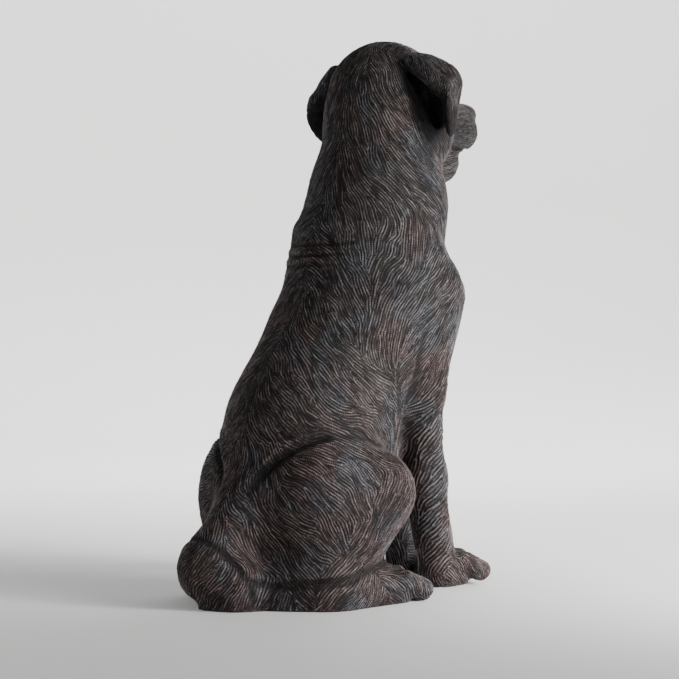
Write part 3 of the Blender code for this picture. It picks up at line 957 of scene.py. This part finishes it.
def painted_resin(paint):
    """Cast polyester resin, painted dark, then dry-brushed.

    The wash stays in the grooves and the pale paint catches on the ridges only, so the carving reads clearly.
    Hollows, shaded places and carved lines are painted darker, as painted shade, and the pale paint also stands in
    for part of the crests' shine, as painted highlight.
    The varnish is a satin one, so a ridge that faces the light has a soft grey shine."""
    material = bpy.data.materials.new("painted_cast_resin")
    material.use_nodes = True
    tree = material.node_tree
    node = partial(add_node, tree)
    shader = tree.nodes["Principled BSDF"]
    where = node("TexCoord", output="Object")
    kept = {}
    for name, (ramp, low, high) in RAMPS.items():
        value = node("Attribute", {"attribute_name": name}, output="Fac")
        ramp = {"interpolation_type": ramp}
        kept[name] = node("MapRange", ramp, {"Value": value, 1: low, 2: high})
    patch = {}
    for name, (size_mm, detail, rough, low, high) in PATCHES.items():
        grain = {"Vector": where, "Scale": 1000.0 / size_mm, "Detail": detail, "Roughness": rough}
        value = node("TexNoise", inputs=grain, output="Fac")
        patch[name] = node("MapRange", SMOOTH, {"Value": value, 1: low, 2: high})

    hair = node("Math", MINUS, {0: hairs(node, where), 1: 0.5})
    broken = node("Math", TIMES_PLUS, {0: hair, 1: HAIR_WEIGHT, 2: kept["ridge"]})
    ridge = node("Mix", NUMBERS, {0: kept["coat"], 2: BARE_RIDGE, 3: broken})

    # The skin's own colours: dark grey-brown, redder towards the foot, with red, blue and dark patches.
    height = node("SeparateXYZ", inputs={"Vector": where}, output="Z")
    patch["low"] = node("MapRange", SMOOTH, {"Value": height, 1: 0.20, 2: 0.04})  # metres
    skin = tuple(paint.ridge)
    for name, share, colour in (
        ("low", 0.45, paint.rust),
        ("warm", 0.55, paint.rust),
        ("cool", 0.65, paint.slate),
        ("blotch", 0.15, paint.groove),
    ):
        part = node("Math", TIMES, {0: patch[name], 1: share})
        skin = node("Mix", COLOURS, {0: part, 6: skin, 7: tuple(colour)}, output=2)

    # The wash comes off the ridges and stays in the grooves; in hollows and carved lines more of it stays, as painted
    # shade.
    wiped_unshaded = node("MapRange", SMOOTH, {"Value": ridge, 1: 0.10, 2: 0.55})
    hollow_shade = node("MapRange", inputs={"Value": kept["open_air"], 3: 0.35, 4: 1.0})
    crease_shade = node("MapRange", inputs={"Value": kept["line"], 3: 1.0, 4: 0.25})
    for part in (hollow_shade, crease_shade):
        wiped_unshaded = node("Math", TIMES, {0: wiped_unshaded, 1: part})
    coat = node("Mix", COLOURS, {0: wiped_unshaded, 6: tuple(paint.groove), 7: skin}, output=2)

    # Pale paint that a dry brush leaves on the crests, also standing in for part of their shine as painted highlight,
    # and held back in hollows and carved lines as painted shade.
    brushed = node("MapRange", SMOOTH, {"Value": ridge, 1: 0.45, 2: 1.0, 4: 0.68})
    scuffed = node("MapRange", inputs={"Value": patch["scuffed"], 3: 0.4, 4: 1.0})
    rubbed = node("MapRange", inputs={"Value": patch["rubbed"], 3: 0.85, 4: 1.0})
    for part in (scuffed, rubbed, kept["open_air"], crease_shade):
        brushed = node("Math", TIMES, {0: brushed, 1: part})
    coat = node("Mix", COLOURS, {0: brushed, 6: coat, 7: tuple(paint.dry_brush_and_highlight)}, output=2)
    coat = node("Mix", COLOURS, {0: kept["glossy"], 6: coat, 7: tuple(paint.groove)}, output=2)
    tree.links.new(coat, shader.inputs["Base Color"])

    # Satin varnish where the wash came off, matt wash in the grooves, gloss on the eyes and the nose.
    uneven = node("MapRange", inputs={"Value": patch["varnished"], 3: 0.6, 4: 1.0})
    varnish = node("Math", TIMES, {0: wiped_unshaded, 1: uneven})
    satin = node("MapRange", inputs={"Value": varnish, 3: 0.75, 4: 0.42})
    satin = node("Mix", NUMBERS, {0: kept["glossy"], 2: satin, 3: 0.28})
    tree.links.new(satin, shader.inputs["Roughness"])
    shader.inputs["IOR"].default_value = 1.5  # clear varnish
    shader.inputs["Specular IOR Level"].default_value = 0.2

    fine = node("Math", TIMES, {0: hair, 1: kept["coat"]})
    fine = node("Math", TIMES_PLUS, {0: patch["gritty"], 1: 0.2, 2: fine})
    bump = node("Bump", inputs={"Strength": 0.8, "Distance": BUMP_DEPTH, "Height": fine})
    tree.links.new(bump, shader.inputs["Normal"])
    return material


class RESINDOG_OT_carve_dog(bpy.types.Operator):
    """Carves the dog's coat, face and paws over the cast solid, and paints it"""

    bl_idname = "resindog.carve_dog"
    bl_label = "Carve the dog"

    def execute(self, context):
        dog = bpy.data.objects.new("carved_dog", carved_mesh(context.scene.resin_dog_carving))
        context.scene.collection.objects.link(dog)
        dog.data.materials.append(painted_resin(context.scene.resin_dog_paint))
        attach(dog, "root")
        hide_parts("dog_statue")
        return {"FINISHED"}


def plain_paper(floor, behind):
    """Matt backdrop paper: no shine, only a faint mottle, and paler on the floor than behind."""
    material = bpy.data.materials.new("matt_backdrop_paper")
    material.use_nodes = True
    tree = material.node_tree
    node = partial(add_node, tree)
    shader = tree.nodes["Principled BSDF"]
    where = node("TexCoord", output="Object")
    mottle = node("TexNoise", inputs={"Vector": where, "Scale": 6.0, "Detail": 2.0}, output="Fac")
    height = node("SeparateXYZ", inputs={"Vector": where}, output="Z")
    upper = node("MapRange", inputs={"Value": height, 1: 0.0, 2: 0.4})
    colour = node("Mix", COLOURS, {0: upper, 6: tuple(floor), 7: tuple(behind)}, output=2)
    shade = node("MapRange", inputs={"Value": mottle, 3: 0.97, 4: 1.0})
    darker = {**COLOURS, "blend_type": "MULTIPLY"}
    mottled = node("Mix", darker, {0: 1.0, 6: colour, 7: shade}, output=2)
    tree.links.new(mottled, shader.inputs["Base Color"])
    shader.inputs["Roughness"].default_value = 0.95
    shader.inputs["Specular IOR Level"].default_value = 0.1
    return material


LIGHTS = {  # place, what it is aimed at, size, colour, and how wide it spreads in degrees
    "main": ((-1.75, -0.25, 0.65), (0, 0, 0.15), 0.9, (1.0, 0.98, 0.97), 180.0),
    "low": ((-0.80, -0.30, 0.28), (-0.10, -0.33, 0.0), 0.4, (1.0, 0.99, 0.98), 70.0),
    "backdrop": ((0.5, -0.5, 1.5), (1.5, -1.5, 0.9), 1.0, (1.0, 1.0, 1.0), 180.0),
    "front": ((0.6, -1.6, 0.9), (0, 0, 0.2), 1.2, (1.0, 1.0, 1.0), 180.0),
    "fill": ((-1.6, 1.6, 1.0), (0, 0, 0.2), 1.2, (0.95, 0.97, 1.0), 180.0),
}


def cove():
    """A floor that bends up into a round backdrop, so no edge shows from any side."""
    profile = [(0.0, 0.0), (0.5 * COVE_RADIUS, 0.0)]
    for turn in range(COVE_STEPS + 1):
        angle = math.radians(90.0 * turn / COVE_STEPS)
        out = COVE_RADIUS - COVE_BEND * (1.0 - math.sin(angle))
        profile.append((out, COVE_BEND * (1.0 - math.cos(angle))))
    profile.append((COVE_RADIUS, COVE_HEIGHT))
    work = bmesh.new()
    line = [work.verts.new((out, 0.0, up - FLOOR_GAP)) for out, up in profile]
    for lower, upper in zip(line[:-1], line[1:]):
        work.edges.new((lower, upper))
    round_up = {"axis": (0, 0, 1), "angle": math.tau, "steps": 8 * COVE_STEPS}
    bmesh.ops.spin(work, geom=work.verts[:] + work.edges[:], use_merge=True, **round_up)
    bmesh.ops.remove_doubles(work, verts=work.verts, dist=1e-5)
    data = bpy.data.meshes.new("backdrop")
    work.to_mesh(data)
    work.free()
    data.shade_smooth()
    return bpy.data.objects.new("backdrop", data)


class RESINDOG_OT_studio(bpy.types.Operator):
    """Sets the pale floor and backdrop, the soft lights and the camera"""

    bl_idname = "resindog.studio"
    bl_label = "Set the studio"

    def execute(self, context):
        settings = context.scene.resin_dog_studio
        backdrop = cove()
        backdrop.data.materials.append(plain_paper(settings.floor, settings.backdrop))
        context.scene.collection.objects.link(backdrop)
        for name, (place, target, size, colour, spread) in LIGHTS.items():
            data = bpy.data.lights.new(name + "_light", "AREA")
            data.shape = "DISK"
            data.size = size
            data.spread = math.radians(spread)
            data.energy = getattr(settings, name + "_power")
            data.color = colour
            lamp = bpy.data.objects.new(name + "_light", data)
            lamp.location = place
            lamp.rotation_euler = (Vector(target) - Vector(place)).to_track_quat("-Z", "Y").to_euler()
            context.scene.collection.objects.link(lamp)
        world = bpy.data.worlds.new("studio_air")
        world.use_nodes = True
        world.node_tree.nodes["Background"].inputs["Color"].default_value = linear("E8ECF0")
        world.node_tree.nodes["Background"].inputs["Strength"].default_value = 0.14
        context.scene.world = world
        data = bpy.data.cameras.new("camera")
        data.sensor_width = 36.0
        data.lens = 36.0 * LENS_PIXELS / PHOTO_WIDTH
        camera = bpy.data.objects.new("camera", data)
        camera.location = to_world(np.array(CAMERA_AT))
        camera.rotation_euler = (math.radians(90.0 - CAMERA_DROP), 0.0, math.radians(CAMERA_TURN))
        context.scene.collection.objects.link(camera)
        context.scene.camera = camera
        return {"FINISHED"}


class RESINDOG_PT_sidebar(bpy.types.Panel):
    """Lists the statue's settings and steps"""

    bl_idname = "RESINDOG_PT_sidebar"
    bl_label = "Resin dog"
    bl_space_type = "VIEW_3D"
    bl_region_type = "UI"
    bl_category = "Resin dog"

    def draw(self, context):
        for group, operator in STEPS:
            settings = getattr(context.scene, group)
            box = self.layout.box()
            for name in settings.__annotations__:
                box.prop(settings, name)
            if operator:
                box.operator(operator)


GROUPS = {
    "resin_dog_carving": ResinDogCarving,
    "resin_dog_paint": ResinDogPaint,
    "resin_dog_studio": ResinDogStudio,
}
STEPS = [
    ("resin_dog_carving", RESINDOG_OT_carve_dog.bl_idname),
    ("resin_dog_paint", None),
    ("resin_dog_studio", RESINDOG_OT_studio.bl_idname),
]
CLASSES = [*GROUPS.values(), RESINDOG_OT_carve_dog, RESINDOG_OT_studio, RESINDOG_PT_sidebar]


def register():
    for made in CLASSES:
        bpy.utils.register_class(made)
    for name, group in GROUPS.items():
        setattr(bpy.types.Scene, name, bpy.props.PointerProperty(type=group))


def unregister():
    for name in GROUPS:
        delattr(bpy.types.Scene, name)
    for made in reversed(CLASSES):
        bpy.utils.unregister_class(made)


def main():
    register()
    bpy.ops.resindog.carve_dog()
    bpy.ops.resindog.studio()


if __name__ == "__main__":
    main()
